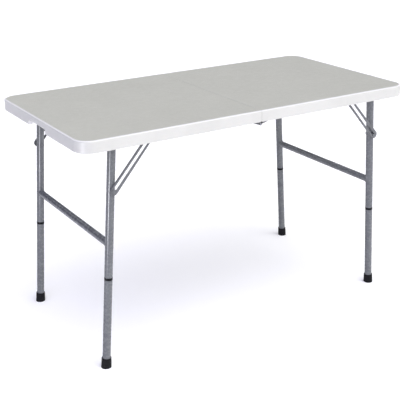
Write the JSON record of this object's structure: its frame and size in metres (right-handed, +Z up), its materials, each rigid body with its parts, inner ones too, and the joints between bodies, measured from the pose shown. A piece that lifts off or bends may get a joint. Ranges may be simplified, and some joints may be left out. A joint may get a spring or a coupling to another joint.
{
  "type": "folding picnic table",
  "caption": "Centre-folding picnic table with a moulded plastic top, folding tube leg frames, slotted side braces and plug-in lower legs.",
  "frame": {"origin": "on the floor, under the middle of the table top", "axes": "+X along the table's length, +Y from front to back, +Z up"},
  "size_m": [1.22, 0.61, 0.74],
  "materials": {
    "top_plastic": "fine pebbled off-white HDPE",
    "leg_enamel": "satin grey powder coat",
    "brace_enamel": "satin grey coat on pressed steel",
    "stamped_steel": "dull stamped steel",
    "zinc_plate": "bright zinc plate",
    "nylon": "black nylon moulding",
    "black_plastic": "black moulded plastic",
    "foot_rubber": "matt black rubber"
  },
  "bodies": {
    "left_half": {"top_half_left": "top_plastic", "hinge_leaf_front_left": "stamped_steel", "hinge_leaf_back_left": "stamped_steel", "hinge_pin_front": "zinc_plate", "hinge_pin_back": "zinc_plate", "hinge_screws_left": "zinc_plate", "pivot_bracket_left_front": "nylon", "pivot_bracket_left_back": "nylon", "bracket_screws_left": "zinc_plate", "brace_rail_left_front": "stamped_steel", "brace_rail_left_back": "stamped_steel", "rail_screws_left": "zinc_plate"},
    "right_half": {"top_half_right": "top_plastic", "hinge_leaf_front_right": "stamped_steel", "hinge_leaf_back_right": "stamped_steel", "hinge_screws_right": "zinc_plate", "pivot_bracket_right_front": "nylon", "pivot_bracket_right_back": "nylon", "bracket_screws_right": "zinc_plate", "brace_rail_right_front": "stamped_steel", "brace_rail_right_back": "stamped_steel", "rail_screws_right": "zinc_plate"},
    "leg_frame_left": {"pivot_rod_left": "zinc_plate", "rod_caps_left": "black_plastic", "upper_leg_left_front": "leg_enamel", "upper_leg_left_back": "leg_enamel", "crossbar_left": "leg_enamel", "leg_collar_left_front": "black_plastic", "leg_collar_left_back": "black_plastic", "brace_pin_left_front": "brace_enamel", "brace_pin_left_back": "brace_enamel"},
    "brace_left_front": {"brace_left_front": "brace_enamel", "brace_roller_left_front": "nylon"},
    "lower_leg_left_front": {"lower_leg_left_front": "leg_enamel", "foot_left_front": "foot_rubber"},
    "brace_left_back": {"brace_left_back": "brace_enamel", "brace_roller_left_back": "nylon"},
    "lower_leg_left_back": {"lower_leg_left_back": "leg_enamel", "foot_left_back": "foot_rubber"},
    "leg_frame_right": {"pivot_rod_right": "zinc_plate", "rod_caps_right": "black_plastic", "upper_leg_right_front": "leg_enamel", "upper_leg_right_back": "leg_enamel", "crossbar_right": "leg_enamel", "leg_collar_right_front": "black_plastic", "leg_collar_right_back": "black_plastic", "brace_pin_right_front": "brace_enamel", "brace_pin_right_back": "brace_enamel"},
    "brace_right_front": {"brace_right_front": "brace_enamel", "brace_roller_right_front": "nylon"},
    "lower_leg_right_front": {"lower_leg_right_front": "leg_enamel", "foot_right_front": "foot_rubber"},
    "brace_right_back": {"brace_right_back": "brace_enamel", "brace_roller_right_back": "nylon"},
    "lower_leg_right_back": {"lower_leg_right_back": "leg_enamel", "foot_right_back": "foot_rubber"}
  },
  "joints": [
    {"name": "centre_fold", "type": "hinge", "parent": "left_half", "child": "right_half", "pos_m": [0, 0, 0.697], "axis": [0, 1, 0], "range_deg": [0, 70]},
    {"name": "leg_fold_left", "type": "hinge", "parent": "left_half", "child": "leg_frame_left", "pos_m": [-0.49, 0, 0.717], "axis": [0, -1, 0], "range_deg": [0, 90]},
    {"name": "brace_swing_left_front", "type": "hinge", "parent": "leg_frame_left", "child": "brace_left_front", "pos_m": [-0.49963, -0.2755, 0.572], "axis": [0, -1, 0], "range_deg": [-136.4, 0]},
    {"name": "lower_leg_pull_left_front", "type": "slide", "parent": "leg_frame_left", "child": "lower_leg_left_front", "axis": [-0.0663, 0, -0.9978], "range_m": [0, 0.45]},
    {"name": "brace_swing_left_back", "type": "hinge", "parent": "leg_frame_left", "child": "brace_left_back", "pos_m": [-0.49963, 0.2755, 0.572], "axis": [0, -1, 0], "range_deg": [-136.4, 0]},
    {"name": "lower_leg_pull_left_back", "type": "slide", "parent": "leg_frame_left", "child": "lower_leg_left_back", "axis": [-0.0663, 0, -0.9978], "range_m": [0, 0.45]},
    {"name": "leg_fold_right", "type": "hinge", "parent": "right_half", "child": "leg_frame_right", "pos_m": [0.49, 0, 0.717], "axis": [0, -1, 0], "range_deg": [-90, 0]},
    {"name": "brace_swing_right_front", "type": "hinge", "parent": "leg_frame_right", "child": "brace_right_front", "pos_m": [0.49963, -0.2755, 0.572], "axis": [0, -1, 0], "range_deg": [0, 136.4]},
    {"name": "lower_leg_pull_right_front", "type": "slide", "parent": "leg_frame_right", "child": "lower_leg_right_front", "axis": [0.0663, 0, -0.9978], "range_m": [0, 0.45]},
    {"name": "brace_swing_right_back", "type": "hinge", "parent": "leg_frame_right", "child": "brace_right_back", "pos_m": [0.49963, 0.2755, 0.572], "axis": [0, -1, 0], "range_deg": [0, 136.4]},
    {"name": "lower_leg_pull_right_back", "type": "slide", "parent": "leg_frame_right", "child": "lower_leg_right_back", "axis": [0.0663, 0, -0.9978], "range_m": [0, 0.45]}
  ],
  "couplings": [
    {"joint": "brace_swing_left_front", "follows": "leg_fold_left", "ratio": -1.515},
    {"joint": "brace_swing_left_back", "follows": "leg_fold_left", "ratio": -1.515},
    {"joint": "brace_swing_right_front", "follows": "leg_fold_right", "ratio": -1.515},
    {"joint": "brace_swing_right_back", "follows": "leg_fold_right", "ratio": -1.515}
  ]
}
